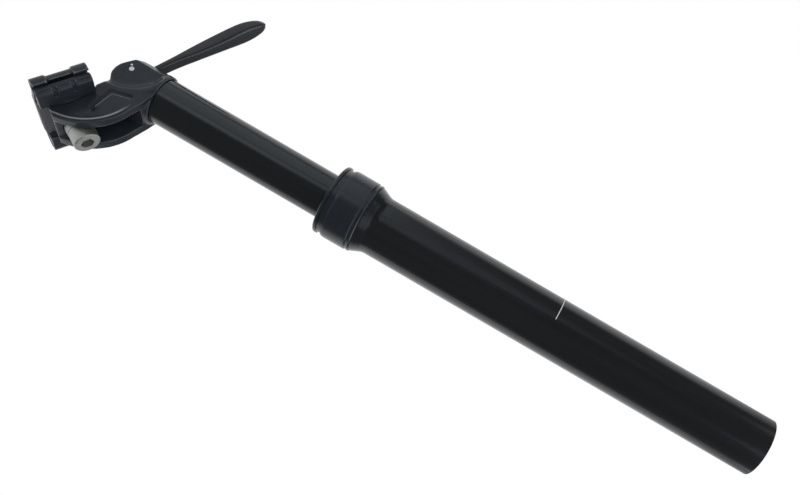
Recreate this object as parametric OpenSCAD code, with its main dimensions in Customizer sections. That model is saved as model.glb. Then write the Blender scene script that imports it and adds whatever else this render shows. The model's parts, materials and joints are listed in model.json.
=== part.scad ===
// Dropper seatpost, drawn at full height with the saddle up.
// +Z runs up the post from the open end of the outer tube, +X points forward to the
// lever and the saddle's nose, and the rider's right side is at -Y.

/* [Outer tube] */
// Outside diameter, the size that the frame's seat tube clamps
tube_d = 31.6; // [30.9:0.1:34.9]
// Wall of the straight part
tube_wall = 2.6; // [2.3:0.1:2.8]
// Length of the straight part
tube_len = 228; // [210:1:300]
// Height of the flare above the straight part
flare_h = 6.2; // [5:0.1:9]
// Height of the plain rim at the top of the flare
flare_rim = 3; // [2:0.1:4]
// How far the flare stands out past the thread
flare_lip = 1.3; // [0.8:0.1:2]
// Height of the thread that the collar nut screws on
thread_h = 13.4; // [11:0.1:16]
// Wall between the bushing seat and the thread
thread_wall = 2; // [1.6:0.1:2.6]

/* [Collar nut] */
// Height of the nut
collar_h = 21; // [20:0.1:26]
// Wall outside the thread
collar_wall = 2.25; // [1.8:0.05:3]
// Height of the ring at the top
lip_h = 2; // [1.5:0.1:3]
// Height of the groove under the top ring
groove_h = 2.6; // [1.6:0.1:3]
// Depth of the groove under the top ring
groove_depth = 0.9; // [0.4:0.1:1.2]
// Height of the ring at the nut's foot
foot_h = 1.4; // [1:0.1:2]

/* [Stanchion] */
// Outside diameter of the inner tube
stanchion_d = 24.5; // [24:0.1:25]
// Wall of the inner tube
stanchion_wall = 1.75; // [1.6:0.05:1.8]
// Travel of the post
travel = 100; // [60:1:110]
// Gap that stays under the head, and under the cartridge, at full drop
drop_gap = 0.6; // [0.3:0.1:2]
// Length of the inner tube below the collar's top
insert_len = 137.2; // [125:0.1:150]

/* [Slides and keys] */
// Length of the upper bushing below its flange
bushing_len = 23.6; // [18:0.1:28]
// Step from the bore of the outer tube out to the bushing seat
bushing_step = 1.8; // [1.2:0.1:2]
// Height of the upper bushing's flange
bushing_flange = 1.7; // [1:0.1:2.5]
// Height of the lower slide ring
ring_h = 8; // [5:0.5:12]
// Depth of the lower ring's groove in the inner tube
ring_bite = 0.5; // [0.3:0.05:0.7]
// Inner tube left below the lower ring
ring_foot = 3; // [2:0.5:6]
// Diameter of the brass key pins
key_d = 3; // [2.6:0.1:3.2]
// Length of the brass key pins
key_len = 20; // [12:1:30]
// Depth of the pockets for the key pins in the inner tube
key_bite = 0.9; // [0.7:0.05:1]
// Number of key pins
key_count = 3; // [2:1:4]
// Height of the rubber ring over the key pins
topout_h = 5.2; // [3:0.1:8]

/* [Cartridge] */
// Diameter of the cartridge body
cartridge_d = 19.8; // [19.4:0.1:20.2]
// Wall of the cartridge body
cartridge_wall = 0.9; // [0.7:0.05:1.1]
// Bore of the inner cylinder that the piston runs in
cylinder_bore = 15; // [14:0.1:15.4]
// Wall of the inner cylinder
cylinder_wall = 0.8; // [0.6:0.05:1]
// Diameter of the oil ports in the inner cylinder
port_d = 2; // [1:0.1:2.4]
// Diameter of the rod
rod_d = 8; // [7:0.1:9]
// Diameter of the rod's stud that carries the piston
stud_d = 5; // [4:0.1:6]
// Height of the main piston
piston_h = 7; // [5:0.5:10]
// Height of the piston's nut
piston_nut_h = 4; // [3:0.5:6]
// Height of the flanges at both ends of the cartridge
cartridge_flange = 3.4; // [2:0.1:5]
// Depth of both end plugs in the cartridge body
cartridge_plug = 10; // [6:0.5:14]
// Diameter of the cartridge's neck in the head
neck_d = 12; // [10:0.5:13]
// Length of the cartridge's neck
neck_len = 13.5; // [8:0.5:16]
// Diameter of the valve pin
pin_d = 3; // [2:0.1:4]

/* [Bottom end] */
// How far the plug sits inside the tube's end
plug_inset = 1.5; // [0.5:0.1:4]
// Height of the plug
plug_h = 11.5; // [10:0.5:16]
// Height of the bottom bumper
bumper_h = 5.5; // [3:0.5:10]
// Diameter of the bottom bumper
bumper_d = 18; // [14:0.5:19]
// Diameter of the bolt in the plug
base_bolt_d = 6; // [4:0.5:6]
// Length of that bolt below its head
base_bolt_len = 21; // [18:1:28]

/* [Head] */
// Diameter of the head's round base
base_d = 27; // [26.6:0.1:30]
// Height of the straight part of the base
base_ring = 3; // [2:0.1:5]
// Depth of the socket round the inner tube's end
socket_depth = 4.2; // [3.5:0.1:4.5]
// Length of the spigot inside the inner tube, below the socket
spigot_len = 26; // [24:0.5:34]
// Width over the crescent cheeks
head_w = 25; // [24:0.1:28]
// Width of the bolt channel between the cheeks
channel_w = 14; // [13.4:0.1:15]
// Front wall of the bolt channel behind the post's axis
channel_back = 14.2; // [14:0.1:15]
// Radius of the cheeks' round lower rim
rim_r = 31; // [30:0.5:33]
// Centre of that rim behind the post's axis
rim_back = 12.5; // [11:0.5:14]
// Centre of that rim above the base
rim_up = 34.2; // [33:0.1:36]
// Thickness of the raised bead along the rim
bead_d = 3; // [2:0.1:3.4]
// How far the bead stands out of the cheek
bead_out = 0.4; // [0.3:0.1:1]
// Height of the neck behind the lever housing
neck_up = 24.7; // [23:0.1:26]
// Front edge of the cheeks behind the post's axis
neck_back = 10; // [8:0.1:11]
// Depth of the scooped facet in each cheek
facet_depth = 2.4; // [1:0.1:3.4]

/* [Cradle and tilt] */
// Tilt centre behind the post's axis
tilt_back = 20.8; // [18:0.1:23]
// Tilt centre above the base
tilt_up = 48.3; // [46:0.1:51]
// Radius of the cradle
cradle_r = 23.5; // [22.5:0.1:24.5]
// Wall of the cradle
cradle_wall = 5; // [4:0.1:5.5]
// Nose-down pitch of the rails against the square to the post
pitch = 31; // [30:0.5:34]
// Width of the bolt's slot in the cradle
slot_w = 8.8; // [8.6:0.1:10]
// Angle that the rails can tip back to, from the pitch
tip_back_deg = 28; // [10:1:28]
// Angle that the rails can tip forward to, from the pitch
tip_front_deg = 4; // [2:1:8]
// Angle from straight down to the rear end of the cradle
cradle_end_deg = 62; // [58:1:66]
// Angle from straight down to the rear end of the cheeks, at the cradle's underside
cheek_end_deg = 52; // [50:1:56]

/* [Lever housing] */
// Width over the housing's flat sides
house_w = 19; // [17:0.1:21]
// Radius of the housing's round top
house_r = 10.7; // [10:0.1:11.5]
// Centre of the round top behind the post's axis
house_back = 2.5; // [1:0.1:3.5]
// Centre of the round top above the base
house_up = 15.4; // [14:0.1:16.5]
// Width of the housing's blunt nose
nose_w = 7.4; // [5:0.1:12]
// Radius of the scooped flats on the housing's sides
scoop_r = 20.1; // [19:0.1:21]
// Width of the slot that the lever swings in
chamber_w = 8.8; // [8.6:0.1:10]
// Lever pin ahead of the post's axis
pivot_ahead = 2.2; // [1.6:0.1:2.4]
// Lever pin above the base
pivot_up = 19; // [18.5:0.1:19.6]
// Diameter of the lever pin
pivot_d = 2.6; // [2.4:0.1:4]

/* [Lever] */
// Reach of the lever's tip ahead of the post's axis
lever_reach = 72.8; // [60:0.1:80]
// Depth of the lever's tip below the head's base
tip_drop = 13.6; // [5:0.1:18]
// Width of the lever's arm
lever_arm_w = 7.7; // [5:0.1:8]
// Width of the lever's paddle
lever_paddle_w = 11.4; // [9:0.1:16]
// Greatest thickness of the lever
lever_t = 7.3; // [4:0.1:7.6]
// Radius of the lever's hub
hub_r = 4.2; // [3.8:0.1:4.4]
// Width of the lever's hub
hub_w = 8.2; // [6:0.1:8.2]
// Depth of the cam under the lever pin
cam_drop = 6; // [5.6:0.1:6.2]

/* [Saddle clamp] */
// Diameter of the saddle's rails
rail_d = 7; // [6.6:0.1:8]
// Distance between the two rails
rail_gauge = 44; // [43:0.5:45]
// Distance from the tilt centre down to the rails
rail_drop = 17.5; // [16:0.1:18]
// Gap between the two clamp halves
clamp_gap = 1.5; // [1:0.1:2]
// Length of the clamp's wings along the rails
wing_len = 27; // [25:0.5:30]
// Length of the clamp's middle along the rails
middle_len = 30; // [28:0.5:34]
// Wall round the rails
rail_wall = 1.8; // [1.4:0.1:2.2]
// Thickness of the upper half in the middle
upper_h = 5.8; // [5.5:0.1:8]
// Thickness of the hooked lip outside the rails
lip_t = 1.1; // [0.8:0.1:1.6]
// How far the lip's plain part reaches below the rails' centres
lip_reach = 0.2; // [0:0.1:1]
// How far the ears reach below the rails' centres
ear_reach = 1.2; // [0.5:0.1:2]
// Length of each ear along the rails
ear_len = 7.3; // [5:0.1:9]
// How far the ears stand out of the lip
ear_out = 0.8; // [0.4:0.1:1.5]

/* [Clamp bolt] */
// Diameter of the bolt
bolt_d = 8; // [7:0.5:8]
// Diameter of the bolt's head
bolt_head_d = 13; // [12:0.1:13]
// Height of the bolt's head
bolt_head_h = 8; // [6:0.1:8.4]
// Width across the flats of the hexagon socket
hex_key = 6; // [5:0.5:6]
// Thickness of the curved washer at its middle
washer_t = 3.3; // [2.5:0.1:4]
// Height of the hexagon nut
nut_h = 6.5; // [5:0.1:8]
// Width of the hexagon nut across its flats
nut_flats = 13; // [12:0.1:13.4]

/* [Hidden] */

$fn = 72;
hull_fn = 32;

// Clearances: a seated fit within one body, a running fit, and free air
fit = 0.02;
run = 0.05;
air = 0.3;
// Overrun of every cut past the surface it opens
over = 1;
edge = 0.5;

black = [0.07, 0.07, 0.08];
forged = [0.11, 0.12, 0.14];
rubber = [0.04, 0.04, 0.04];
silver = [0.72, 0.73, 0.72];
brass = [0.78, 0.62, 0.3];
plastic = [0.2, 0.2, 0.22];

// Radii of the nested tubes, from the inside out
tube_r = tube_d / 2;
bore_r = tube_r - tube_wall;
seat_r = bore_r + bushing_step;
thread_r = seat_r + thread_wall;
flare_r = thread_r + flare_lip;
collar_r = thread_r + collar_wall;
stanchion_r = stanchion_d / 2;
stanchion_bore_r = stanchion_r - stanchion_wall;

// Heights up the post
seam_z = tube_len + flare_h;
tube_top = seam_z + thread_h;
collar_top = seam_z + collar_h;
bushing_z = tube_top - bushing_len;
base_z = collar_top + travel + drop_gap;
stanchion_z = collar_top - insert_len;
socket_z = base_z + socket_depth;
spigot_z = socket_z - spigot_len;

// Wiper seal
seal_z = tube_top + bushing_flange;
seal_lip = 1.8;
seal_wall = 3.2;
seal_lip_wall = 0.9;

// Keys and the rubber ring between them and the upper bushing
key_r = key_d / 2;
key_at = stanchion_r - key_bite + key_r;
topout_wall = bore_r - stanchion_r - air;
topout_z = bushing_z - drop_gap - topout_h;
key_z = topout_z - key_len;
ring_z = stanchion_z + ring_foot;

// Bottom end and cartridge, from the bottom up
plug_top = plug_inset + plug_h;
bumper_top = plug_top + bumper_h;
gland_z = bumper_top + travel + drop_gap;
cartridge_z = gland_z + cartridge_flange;
cartridge_top = spigot_z - cartridge_flange;
cartridge_r = cartridge_d / 2;
cartridge_in_r = cartridge_r - cartridge_wall;
cylinder_r = cylinder_bore / 2;
cylinder_out_r = cylinder_r + cylinder_wall;
rod_r = rod_d / 2;
stud_r = stud_d / 2;
piston_z = cartridge_z + cartridge_plug + piston_h / 2;
piston_top = piston_z + piston_h;
stud_top = piston_top + piston_nut_h + edge;
cap_plug_z = cartridge_top - cartridge_plug;
cylinder_z = cartridge_z + cartridge_plug / 2;
cylinder_top = cartridge_top - cartridge_plug / 2;
port_foot_z = cartridge_z + cartridge_plug + port_d;
port_top_z = cap_plug_z + cartridge_plug / 4;
neck_r = neck_d / 2;
neck_top = spigot_z + neck_len;
base_bolt_r = base_bolt_d / 2;
base_head_r = base_bolt_r * 5 / 3;
base_head_h = base_bolt_d * 2 / 3;
base_head_z = plug_inset + edge;
piston_nut_flats = stud_d * 8 / 5;

// Places on the head, as [x, z] points in its middle plane
rim_c = [-rim_back, base_z + rim_up];
tilt_c = [-tilt_back, base_z + tilt_up];
house_c = [-house_back, base_z + house_up];
pivot_c = [pivot_ahead, base_z + pivot_up];
base_r = base_d / 2;
pin_r = pin_d / 2;
pivot_r = pivot_d / 2;
cradle_out_r = cradle_r + cradle_wall;
neck_z = base_z + neck_up;
neck_slab = head_w / 4;
bead_r = rim_r - bead_d / 2;
bead_start_deg = 187;
bead_sweep_deg = 68;
end_in = tilt_c - (cradle_r - cradle_wall) * [sin(cradle_end_deg), cos(cradle_end_deg)];
end_out = tilt_c - cradle_out_r * [sin(cheek_end_deg), cos(cheek_end_deg)];
chin_deg = 15;
slot_spare_deg = 1;
slot_front_deg = pitch - tip_back_deg - slot_spare_deg;
slot_rear_deg = pitch + tip_front_deg + slot_spare_deg;

// Housing in plan, its brow over the lever and the round scoops that blend its sides into the neck
bevel_share = 0.6;
crown_deg = 55;
brow_share = [0.85, 1.38];
nose_share = 0.95;
scoop_share = [0.75, 1.77];
scoop_c = [base_r * scoop_share[0], base_z + base_r * scoop_share[1]];

// Scooped facet in the cheeks: its deep corner and where its two edges head, on the rim's radius
facet_share = [-0.142, -0.581];
facet_front_share = [-0.058, -0.852];
facet_rear_share = [-0.548, -0.513];
facet_deg = 236.5;
facet_tilt_deg = 11.3;
facet_end_r = rim_r - bead_d - 2 * bead_out;

// Lever chamber, the cam under the hub and the pin that it presses
cam_z = pivot_c[1] - cam_drop;
chamber_floor = cam_z - hub_r;
chamber_back = hub_w - edge;
pin_top = cam_z - run;
pin_foot = cap_plug_z - pin_d;
pin_waist_top = cap_plug_z + cartridge_plug / 2;
pin_hole_r = pin_r + 2 * air;
lock_r = hub_r / 7;
lock_len = house_w / 5;
lock_at = pivot_c + pivot_d * [0.8, 0.53];

// Lever blade: rows of [share of its length, share of lever_t, share of lever_paddle_w]
blade_start = pivot_c + hub_r * [1, -5 / 6];
blade_tip = [lever_reach, base_z - tip_drop];
bend_share = 0.446;
arm_share = lever_arm_w / lever_paddle_w;
blade_shares = [[0, 0.35, arm_share], [0.12, 0.41, arm_share], [0.24, 0.5, arm_share],
    [0.3, 0.58, arm_share], [0.36, 0.7, arm_share], [0.42, 0.81, arm_share], [0.48, 0.88, 0.7],
    [0.54, 0.94, 0.735], [0.6, 0.98, 0.78], [0.66, 1, 0.84], [0.72, 0.99, 0.925], [0.78, 0.98, 0.99],
    [0.82, 0.96, 1], [0.85, 0.94, 0.97], [0.88, 0.92, 0.9], [0.91, 0.88, 0.8], [0.94, 0.8, 0.68],
    [0.965, 0.68, 0.55], [0.988, 0.46, 0.36], [1, 0.2, 0.17]];
blade_sides = 16;
section_power = 0.34;

// Clamp, in its own frame: x along the rails, z along the bolt, origin at the rails' height
arc_c = rail_drop;
seat_gap = 0.2;
seat_arc_r = cradle_r - seat_gap;
rail_r = rail_d / 2;
rail_y = rail_gauge / 2;
half_gap = clamp_gap / 2;
groove_out_r = rail_r + rail_wall;
wing_in = head_w / 2 + bead_out + air;
lower_wing_y = rail_y + rail_r - seat_gap;
lip_y = rail_y + rail_r + seat_gap;
upper_r = lip_y - rail_y + lip_t;
pad_groove = rail_r / 4;
pad_depth = rail_wall / 2;
crown_r = 3 * middle_len;
bolt_r = bolt_d / 2;
bolt_hole_r = bolt_r + air;
bolt_head_r = bolt_head_d / 2;
washer_top_r = cradle_out_r + seat_gap;
washer_foot = washer_top_r + washer_t;
head_foot = washer_foot + bolt_head_h;
washer_w = channel_w - 2 * air;
nut_seat = upper_h * 3 / 5;
nut_top = nut_seat + nut_h;
bolt_top = nut_top - edge;
nut_pocket_flats = nut_flats + air;

// A plate of the given width, drawn in side view: 2D x is forward and 2D y is up
module side_plate(w)
    rotate([90, 0, 0]) translate([0, 0, -w / 2]) linear_extrude(w) children();

// A round bar across the post at a side-view point
module cross_bar(at, r, w)
    translate([at[0], 0, at[1]]) rotate([90, 0, 0]) cylinder(h = w, r = r, center = true);

// A tube or a ring on the post's axis
module ring(r_in, r_out, z0, z1)
    translate([0, 0, z0]) difference() {
        cylinder(h = z1 - z0, r = r_out);
        translate([0, 0, -over]) cylinder(h = z1 - z0 + 2 * over, r = r_in);
    }

// A rod on the post's axis
module rod(r, z0, z1)
    translate([0, 0, z0]) cylinder(h = z1 - z0, r = r);

// A hexagon prism on the post's axis
module hex(flats, z0, z1)
    translate([0, 0, z0]) cylinder(h = z1 - z0, r = flats / sqrt(3), $fn = 6);

// Whatever is repeated round the post for each key
module at_keys()
    for (i = [0:key_count - 1]) rotate([0, 0, i * 360 / key_count]) translate([key_at, 0, 0]) children();

// The clamp's own frame, set on the head
module clamp_frame()
    translate([tilt_c[0], 0, tilt_c[1]]) rotate([0, pitch, 0]) translate([0, 0, -rail_drop]) children();

module outer_tube() color(black) difference() {
    rotate_extrude() polygon([[bore_r, 0], [tube_r, 0], [tube_r, tube_len],
        [flare_r - edge, seam_z - flare_rim], [flare_r, seam_z - flare_rim + edge],
        [flare_r, seam_z - edge], [flare_r - edge, seam_z], [thread_r, seam_z],
        [thread_r, tube_top], [seat_r, tube_top], [seat_r, bushing_z], [bore_r, bushing_z]]);
    at_keys() translate([0, 0, plug_top + over]) cylinder(h = bushing_z - plug_top, r = key_r + run);
}

module collar_nut() color(black) rotate_extrude() {
    ring_r = collar_r - edge / 2;
    groove_top = collar_top - lip_h;
    groove_foot = groove_top - groove_h;
    foot_top = seam_z + foot_h;
    polygon([[thread_r + fit, seam_z], [ring_r - edge, seam_z], [ring_r, seam_z + edge],
        [ring_r, foot_top - edge / 2], [ring_r - edge, foot_top], [ring_r - edge, foot_top + edge],
        [collar_r, foot_top + 3 * edge], [collar_r, groove_foot - 3 * edge],
        [ring_r, groove_foot - edge / 2], [ring_r - groove_depth, groove_foot],
        [ring_r - groove_depth, groove_top], [ring_r, groove_top + edge / 2],
        [ring_r, collar_top - edge], [ring_r - edge, collar_top],
        [stanchion_r + seal_lip_wall + fit, collar_top],
        [stanchion_r + seal_lip_wall + fit, collar_top - seal_lip],
        [stanchion_r + seal_wall + fit, collar_top - seal_lip],
        [stanchion_r + seal_wall + fit, seal_z], [thread_r + fit, seal_z]]);
}

module wiper_seal() color(rubber) rotate_extrude()
    polygon([[stanchion_r + run, seal_z], [stanchion_r + seal_wall, seal_z],
        [stanchion_r + seal_wall, collar_top - seal_lip - fit],
        [stanchion_r + seal_lip_wall, collar_top - seal_lip - fit],
        [stanchion_r + seal_lip_wall, collar_top],
        [stanchion_r + run + edge / 2, collar_top + drop_gap / 2],
        [stanchion_r + run, collar_top]]);

module upper_bushing() color(plastic) rotate_extrude()
    polygon([[stanchion_r + run, bushing_z], [seat_r - fit, bushing_z], [seat_r - fit, tube_top],
        [thread_r - edge, tube_top], [thread_r - edge, seal_z], [stanchion_r + run, seal_z]]);

module base_plug() color(black) difference() {
    rod(bore_r - fit, plug_inset, plug_top);
    rod(base_bolt_r + fit, plug_inset - over, plug_top + over);
    rod(base_head_r + air, plug_inset - over, base_head_z + base_head_h);
}

module base_bolt() color(silver) difference() {
    union() {
        rod(base_head_r, base_head_z, base_head_z + base_head_h);
        rod(base_bolt_r, base_head_z + base_head_h, base_head_z + base_head_h + base_bolt_len);
    }
    hex(base_bolt_r * 5 / 3, base_head_z - over, base_head_z + base_head_h / 2);
}

module bottom_bumper() color(rubber)
    ring(rod_r + run, bumper_d / 2, plug_top, bumper_top);

module cartridge_rod() color(silver) difference() {
    union() {
        rod(rod_r, plug_top, piston_z);
        rod(stud_r, piston_z, stud_top);
    }
    rod(base_bolt_r + fit, plug_top - over, base_head_z + base_head_h + base_bolt_len + over);
}

module rod_piston() color(brass)
    ring(stud_r + fit, cylinder_r - run, piston_z, piston_top);

module piston_nut() color(silver) difference() {
    hex(piston_nut_flats, piston_top, piston_top + piston_nut_h);
    rod(stud_r + fit, piston_top - over, piston_top + piston_nut_h + over);
}

module inner_tube() color(black) difference() {
    ring(stanchion_bore_r, stanchion_r, stanchion_z, socket_z);
    ring(stanchion_r - ring_bite, stanchion_r + over, ring_z, ring_z + ring_h);
    at_keys() translate([0, 0, key_z]) cylinder(h = key_len, r = key_r);
}

module lower_bushing() color(plastic)
    ring(stanchion_r - ring_bite + fit, bore_r - run, ring_z + fit, ring_z + ring_h - fit);

module anti_rotation_keys() color(brass)
    at_keys() translate([0, 0, key_z + fit]) cylinder(h = key_len - 2 * fit, r = key_r - fit);

module topout_bumper() color(rubber)
    ring(stanchion_r + fit, stanchion_r + topout_wall, topout_z, topout_z + topout_h);

module cartridge_body() color(silver)
    ring(cartridge_in_r, cartridge_r, cartridge_z + fit, cartridge_top - fit);

// Four radial oil ports at one height
module ports(z, length)
    for (turn = [0, 90]) translate([0, 0, z]) rotate([90, 0, turn])
        cylinder(h = length, d = port_d, center = true);

module inner_cylinder() color(silver) difference() {
    ring(cylinder_r, cylinder_out_r, cylinder_z + fit, cylinder_top - fit);
    ports(port_foot_z, cartridge_d);
    ports(port_top_z, cartridge_d);
}

module cartridge_gland() color(black) difference() {
    union() {
        rod(cartridge_r, gland_z, cartridge_z);
        rod(cartridge_in_r - fit, cartridge_z, cylinder_z);
        rod(cylinder_r - fit, cylinder_z, cartridge_z + cartridge_plug);
    }
    rod(rod_r + run, gland_z - over, cartridge_z + cartridge_plug + over);
}

module cartridge_cap() color(black) difference() {
    union() {
        rod(cylinder_r - fit, cap_plug_z, cylinder_top);
        rod(cartridge_in_r - fit, cylinder_top, cartridge_top);
        rod(cartridge_r, cartridge_top, spigot_z);
        rod(neck_r, spigot_z, neck_top);
    }
    rod(pin_r + run, cap_plug_z - over, neck_top + over);
    ports(port_top_z, cylinder_bore);
}

// Valve pin: a round tip under the lever's cam, and a waist and a valve head at the cap's foot
module valve_pin() color(silver) {
    translate([0, 0, pin_top - pin_r]) sphere(r = pin_r);
    rod(pin_r, pin_waist_top, pin_top - pin_r);
    rod(pin_r * 2 / 3, cap_plug_z - fit, pin_waist_top);
    rod(pin_r * 3 / 2, pin_foot, cap_plug_z - fit);
}

// Side view of the crescent: a round rim below, the cradle above, a level neck in front
module crescent() intersection() {
    union() {
        translate(rim_c) circle(r = rim_r);
        chin();
    }
    polygon([[0, base_z], [-neck_back, neck_z], [tilt_c[0], neck_z + edge],
        end_in, end_in + 4 * (end_out - end_in), [tilt_c[0] - 2 * rim_r, base_z]]);
}

// Side view of the chin, where the rim runs out along the head's base
module chin() polygon([rim_c - rim_r * [sin(chin_deg), cos(chin_deg)], [-rim_back, base_z + base_ring / 2],
    [-base_r / 2, base_z], [0, base_z], rim_c]);

// Round base, drawn up and back into the square neck under the saddle clamp
module neck_body() hull() {
    translate([0, 0, base_z]) cylinder(h = base_ring, d = base_d, $fn = 2 * hull_fn);
    translate([-neck_back - neck_slab, -head_w / 2, neck_z - neck_slab])
        cube([neck_slab, head_w, neck_slab]);
}

// Flat-sided housing with a round top and a bevelled nose
module housing_body() intersection() {
    side_plate(house_w) union() {
        translate(house_c) circle(r = house_r);
        polygon([house_c + house_r * [cos(crown_deg), sin(crown_deg)], [0, base_z] + base_r * brow_share,
            [base_r * nose_share, base_z + base_r / 2], [base_r * nose_share, base_z],
            [-base_r * nose_share, base_z], house_c - [house_r - edge, 0]]);
    }
    translate([0, 0, base_z]) linear_extrude(2 * house_r + house_up) intersection() {
        circle(d = base_d);
        polygon([[-base_d, -house_w / 2], [base_r * bevel_share, -house_w / 2], [base_r, -nose_w / 2],
            [base_r, nose_w / 2], [base_r * bevel_share, house_w / 2], [-base_d, house_w / 2]]);
    }
}

// Raised bead along the lower rim of both cheeks
module rim_beads() translate([rim_c[0], 0, rim_c[1]]) rotate([90, 0, 0])
    for (side = [-1, 1]) rotate([0, 0, bead_start_deg]) rotate_extrude(angle = bead_sweep_deg)
        translate([bead_r, side * (head_w / 2 + bead_out - bead_d / 2)]) circle(d = bead_d, $fn = 24);

// Round scoops that bring the neck in to the housing's flat sides and open outwards
module side_scoops() for (side = [0, 1]) mirror([0, side, 0])
    translate([scoop_c[0], -house_w / 2, scoop_c[1]]) rotate([90, 0, 0])
        cylinder(h = head_w / 2, r1 = scoop_r, r2 = scoop_r + head_w / 2);

// Three-cornered hollows that dish both cheeks, deepest at the corner by the neck
module facet_cuts() for (side = [0, 1]) mirror([0, side, 0]) {
    deep = rim_c + rim_r * facet_share;
    intersection() {
        side_plate(2 * head_w) intersection() {
            translate(rim_c) circle(r = facet_end_r);
            polygon([deep, rim_c + rim_r * (2 * facet_front_share - facet_share),
                rim_c + rim_r * (2 * facet_rear_share - facet_share)]);
        }
        translate([deep[0], facet_depth - head_w / 2, deep[1]])
            rotate(a = facet_tilt_deg, v = [sin(facet_deg), 0, -cos(facet_deg)])
                translate([-head_w, -head_w, -head_w]) cube([2 * head_w, head_w, 2 * head_w]);
    }
}

// Room between the cheeks for the bolt's head and washer as the clamp tilts
module channel_cut() side_plate(channel_w) difference() {
    translate([-channel_back - 2 * rim_r, base_z - over]) square([2 * rim_r, tilt_up + over]);
    translate(tilt_c) circle(r = cradle_out_r);
}

// Curved slot in the cradle, with round ends where the bolt stops
module bolt_slot() {
    side_plate(slot_w) translate(tilt_c) polygon([[0, 0], for (i = [0:4])
        let (turn = slot_front_deg + (slot_rear_deg - slot_front_deg) * i / 4)
        -(cradle_out_r + 2 * over) * [sin(turn), cos(turn)]]);
    for (turn = [slot_front_deg, slot_rear_deg])
        translate([tilt_c[0], 0, tilt_c[1]]) rotate([0, turn, 0]) translate([0, 0, -cradle_out_r - over])
            cylinder(h = cradle_wall + 2 * over, d = slot_w - run);
}

module head() color(forged) difference() {
    union() {
        difference() {
            union() {
                neck_body();
                side_plate(head_w) crescent();
            }
            side_scoops();
        }
        housing_body();
        rim_beads();
        rod(stanchion_bore_r - fit, spigot_z, socket_z);
    }
    ring(stanchion_bore_r - fit, stanchion_r + fit, base_z - over, socket_z);
    rod(neck_r + fit, spigot_z - over, neck_top + edge);
    rod(pin_hole_r, neck_top, chamber_floor + over);
    cross_bar(tilt_c, cradle_r, 2 * head_w);
    channel_cut();
    bolt_slot();
    side_plate(chamber_w) translate([pivot_c[0] - chamber_back, chamber_floor]) square(2 * house_r);
    facet_cuts();
    cross_bar(pivot_c, pivot_r, 2 * house_w);
    translate([lock_at[0], lock_len - house_w / 2, lock_at[1]]) rotate([90, 0, 0])
        cylinder(h = lock_len + over, r = lock_r);
}

module lever_pivot_pin() color(silver)
    cross_bar(pivot_c, pivot_r - fit, house_w);

module pin_lock_screw() color(silver)
    translate([lock_at[0], lock_len - house_w / 2 - fit, lock_at[1]]) rotate([90, 0, 0])
        cylinder(h = lock_len - fit, r = lock_r - fit, $fn = 24);

// Side view of the lever's root: a hub, the cam that meets the valve pin, and the arm's start
module lever_root() {
    translate(pivot_c) circle(r = hub_r);
    polygon([pivot_c - [hub_r, 0], [-hub_r, cam_z], [hub_r, cam_z],
        blade_start + [over, -lever_t / 8], blade_start + [over, lever_t / 8],
        pivot_c + hub_r * [sin(45), cos(45)]]);
}

// Middle line of the blade at a share u of its length
function blade_at(u) = let (bend = [(blade_start[0] + blade_tip[0]) / 2,
    blade_start[1] + (blade_tip[1] - blade_start[1]) * bend_share])
    (1 - u) * (1 - u) * blade_start + 2 * u * (1 - u) * bend + u * u * blade_tip;
// One upright section across the blade, a soft-cornered oval
function oval(v) = sign(v) * pow(abs(v), section_power);
function blade_section(row) = let (c = blade_at(row[0]), t = lever_t * row[1] / 2,
    w = lever_paddle_w * row[2] / 2)
    [for (i = [0:blade_sides - 1]) let (turn = 360 * i / blade_sides)
        [c[0], w * oval(cos(turn)), c[1] + t * oval(sin(turn))]];

module lever_blade() {
    last = len(blade_shares) - 1;
    polyhedron(points = [for (row = blade_shares) each blade_section(row)], faces = [
        [for (j = [0:blade_sides - 1]) j],
        [for (j = [blade_sides - 1:-1:0]) last * blade_sides + j],
        for (i = [0:last - 1], j = [0:blade_sides - 1], k = [0, 1])
            let (a = i * blade_sides, b = a + blade_sides, n = (j + 1) % blade_sides)
            k == 0 ? [a + j, b + j, b + n] : [a + j, b + n, a + n]]);
}

module lever() color(forged) difference() {
    union() {
        lever_blade();
        side_plate(lever_arm_w - edge) lever_root();
        cross_bar(pivot_c, hub_r, hub_w);
    }
    cross_bar(pivot_c, pivot_r + run, 2 * house_w);
}

// Both saddle rails, longer than the clamp
module rails(r, length)
    for (side = [-1, 1]) translate([0, side * rail_y, 0]) rotate([0, 90, 0])
        cylinder(h = length, r = r, center = true);

// A bar along the rails, from a section drawn with 2D x across and 2D y along the bolt
module rail_bar(from, to)
    for (side = [0, 1]) mirror([0, side, 0])
        translate([from, 0, 0]) rotate([90, 0, 90]) linear_extrude(to - from) children();

// Section of one lower wing: a half tube under the rail and a web to the middle
module lower_wing_section() intersection() {
    union() {
        translate([rail_y, 0]) circle(r = groove_out_r);
        translate([0, -groove_out_r]) square([rail_y, groove_out_r]);
    }
    translate([wing_in, -2 * groove_out_r]) square([lower_wing_y - wing_in, 2 * groove_out_r - half_gap]);
}

module lower_clamp() color(forged) clamp_frame() difference() {
    union() {
        intersection() {
            translate([0, 0, arc_c]) rotate([90, 0, 0])
                cylinder(h = 2 * (wing_in + edge), r = seat_arc_r, center = true);
            translate([-middle_len / 2, -head_w, arc_c - 2 * seat_arc_r])
                cube([middle_len, 2 * head_w, 2 * seat_arc_r - arc_c - half_gap]);
        }
        rail_bar(-wing_len / 2, wing_len / 2) lower_wing_section();
    }
    for (end = [-1, 1]) translate([end * wing_len / 6, 0, 0]) difference() {
        rails(2 * groove_out_r, 2 * pad_groove);
        rails(groove_out_r - pad_depth, 3 * pad_groove);
        cube([3 * pad_groove, 2 * rail_y - groove_out_r, 4 * groove_out_r], center = true);
    }
    rails(rail_r, 2 * middle_len);
    cylinder(h = 4 * cradle_r, r = bolt_hole_r, center = true);
}

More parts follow.
